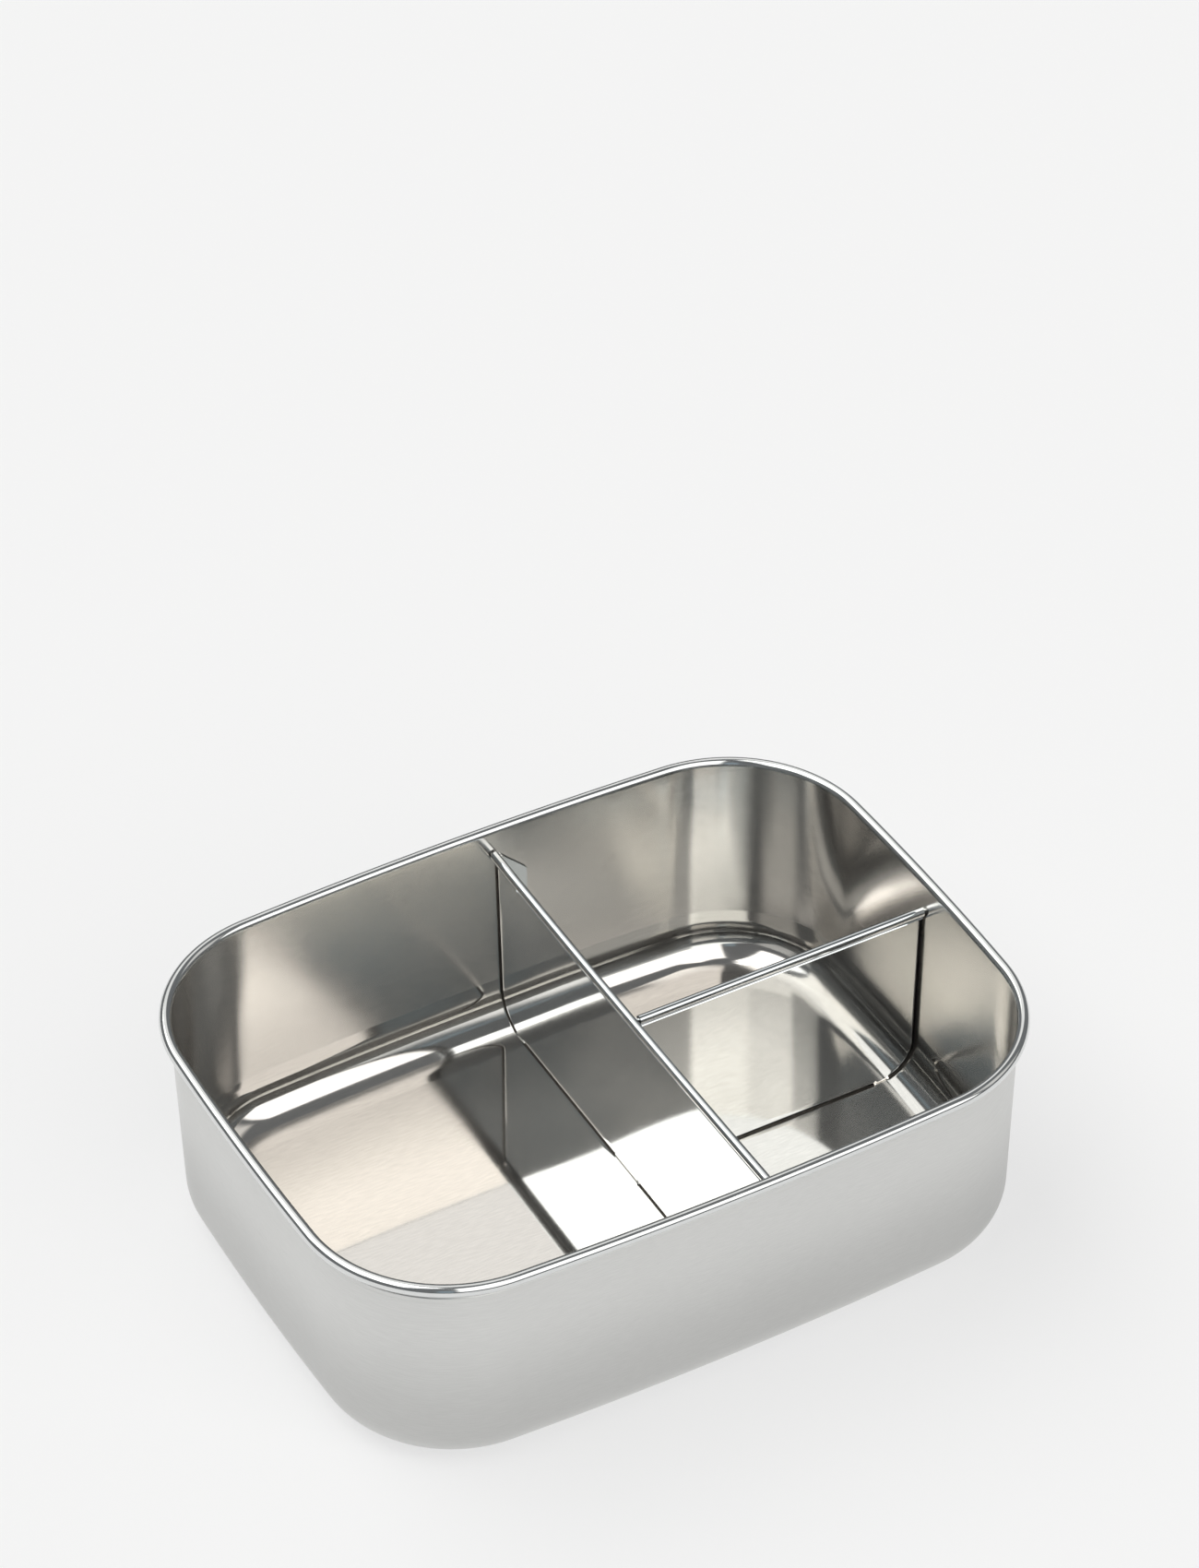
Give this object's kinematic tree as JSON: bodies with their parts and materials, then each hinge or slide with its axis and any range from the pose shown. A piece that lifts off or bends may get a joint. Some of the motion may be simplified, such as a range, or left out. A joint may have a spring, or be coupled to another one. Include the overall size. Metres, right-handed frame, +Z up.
{
  "type": "bento lunch box",
  "caption": "Open rectangular steel lunch box with round corners, a rolled rim and a welded T-shaped divider that makes one large and two small compartments.",
  "frame": {"origin": "middle of the underside, where the tray stands on a table", "axes": "+X along the length, +Y across to the back, +Z up out of the open top"},
  "size_m": [0.205, 0.156, 0.0665],
  "materials": {
    "tray_steel": "satin outside, polished inside",
    "divider_steel": "bright polished sheet with fine grain"
  },
  "bodies": {
    "root": {"tray": "tray_steel", "long_divider": "divider_steel", "cross_divider": "divider_steel"}
  },
  "joints": []
}
